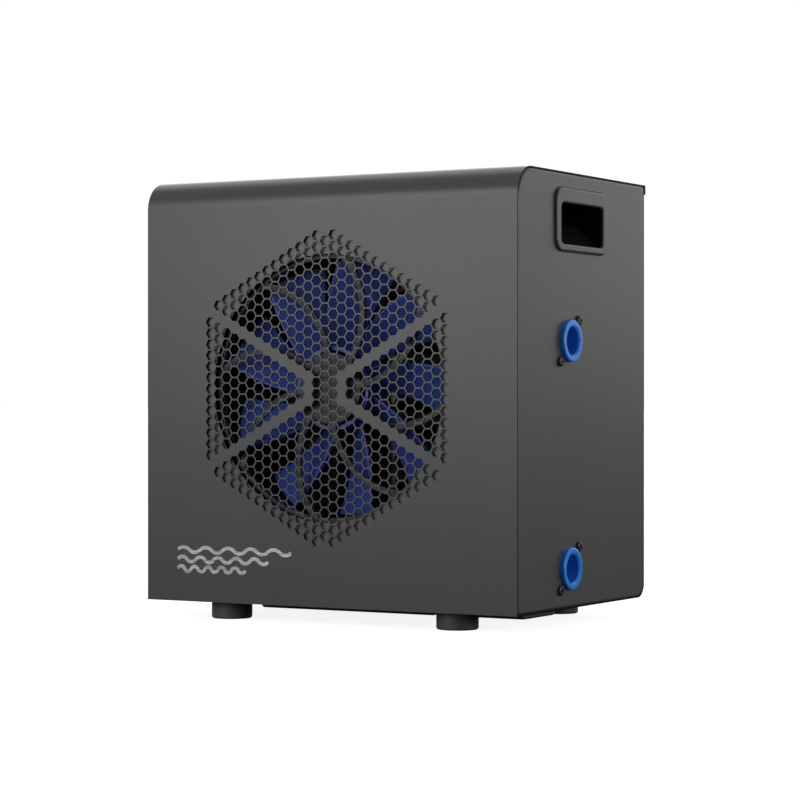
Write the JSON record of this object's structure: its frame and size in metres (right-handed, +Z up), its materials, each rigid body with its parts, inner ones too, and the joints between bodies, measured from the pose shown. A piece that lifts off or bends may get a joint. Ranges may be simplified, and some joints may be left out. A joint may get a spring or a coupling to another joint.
{
  "type": "pool heat pump unit",
  "caption": "Compact pool and spa heat pump: sheet-metal cabinet, hexagonal front grille over a fan, side grips, blue water ports, round rubber feet.",
  "frame": {"origin": "on the floor under the middle of the cabinet's footprint", "axes": "+X to the right seen from the front, towards the water ports; +Y to the back; +Z up; the grille faces -Y"},
  "size_m": [0.3582, 0.2412, 0.3693],
  "materials": {
    "cabinet_paint": "satin dark grey powder coat",
    "gloss_black": "glossy black moulding",
    "galvanised_steel": "galvanised sheet",
    "black_plastic": "fine textured black moulding",
    "black_rubber": "satin moulded rubber",
    "zinc_steel": "zinc plated",
    "black_screws": "blackened steel",
    "silver_badge": "brushed silver",
    "display_window": "smoked acrylic",
    "circuit_board": "green solder mask",
    "button_plastic": "soft grey key",
    "shroud_paint": "satin dark grey powder coat",
    "bracket_plastic": "dark grey moulding",
    "motor_paint": "black enamel",
    "copper_winding": "enamelled copper and laminated iron",
    "bright_steel": "ground steel",
    "fan_blue": "navy blue moulding",
    "white_plastic": "white pipe-grade plastic",
    "titanium": "drawn titanium tube",
    "port_blue": "bright blue moulding",
    "compressor_black": "black enamel",
    "copper": "drawn copper tube",
    "fin_aluminium": "thin bright fins",
    "capacitor_can": "drawn can"
  },
  "bodies": {
    "cabinet": {"front_panel": "cabinet_paint", "top_cover": "cabinet_paint", "rear_base_cover": "cabinet_paint", "side_panel_right": "cabinet_paint", "side_panel_left": "cabinet_paint", "handle_bezel_right": "cabinet_paint", "handle_bezel_left": "cabinet_paint", "handle_cup_right": "gloss_black", "handle_cup_left": "gloss_black", "base_pan": "galvanised_steel", "drip_tray": "black_plastic", "drain_spigot": "black_plastic", "foot_front_left": "black_rubber", "foot_front_right": "black_rubber", "foot_rear_left": "black_rubber", "foot_rear_right": "black_rubber", "foot_bolts": "zinc_steel", "rear_guard": "black_plastic", "cabinet_screws": "black_screws", "badge": "silver_badge", "controller_bezel": "gloss_black", "controller_window": "display_window", "controller_board": "circuit_board", "cable_gland": "black_plastic", "gland_nut": "black_plastic", "fan_shroud": "shroud_paint", "fan_bracket": "bracket_plastic", "motor_housing": "motor_paint", "motor_stator": "copper_winding", "motor_bearings": "bright_steel", "exchanger_shell": "white_plastic", "exchanger_coil": "titanium", "water_inlet_fitting": "port_blue", "water_outlet_fitting": "port_blue", "compressor": "compressor_black", "terminal_cover": "black_plastic", "compressor_grommets": "black_rubber", "compressor_bolts": "zinc_steel", "accumulator": "compressor_black", "suction_pipe": "copper", "discharge_pipe": "copper", "liquid_pipe": "copper", "filter_drier": "copper", "capillary_tube": "copper", "evaporator_fins": "fin_aluminium", "evaporator_tubes": "copper", "evaporator_end_plates": "galvanised_steel", "electrical_box": "galvanised_steel", "electrical_cover": "galvanised_steel", "control_board": "circuit_board", "run_capacitor": "capacitor_can"},
    "fan_rotor": {"impeller": "fan_blue", "fan_shaft": "bright_steel", "motor_rotor": "zinc_steel", "impeller_nut": "bright_steel"},
    "power_button_body": {"power_button": "button_plastic"},
    "mode_button_body": {"mode_button": "button_plastic"},
    "down_button_body": {"down_button": "button_plastic"},
    "up_button_body": {"up_button": "button_plastic"}
  },
  "joints": [
    {"name": "fan_spin", "type": "hinge", "parent": "cabinet", "child": "fan_rotor", "pos_m": [0, -0.09, 0.1922], "axis": [0, 1, 0], "continuous": true},
    {"name": "power_press", "type": "slide", "parent": "cabinet", "child": "power_button_body", "axis": [0, 0, -1], "range_m": [0, 0.0008], "stiffness_N_per_m": 400},
    {"name": "mode_press", "type": "slide", "parent": "cabinet", "child": "mode_button_body", "axis": [0, 0, -1], "range_m": [0, 0.0008], "stiffness_N_per_m": 400},
    {"name": "down_press", "type": "slide", "parent": "cabinet", "child": "down_button_body", "axis": [0, 0, -1], "range_m": [0, 0.0008], "stiffness_N_per_m": 400},
    {"name": "up_press", "type": "slide", "parent": "cabinet", "child": "up_button_body", "axis": [0, 0, -1], "range_m": [0, 0.0008], "stiffness_N_per_m": 400}
  ]
}
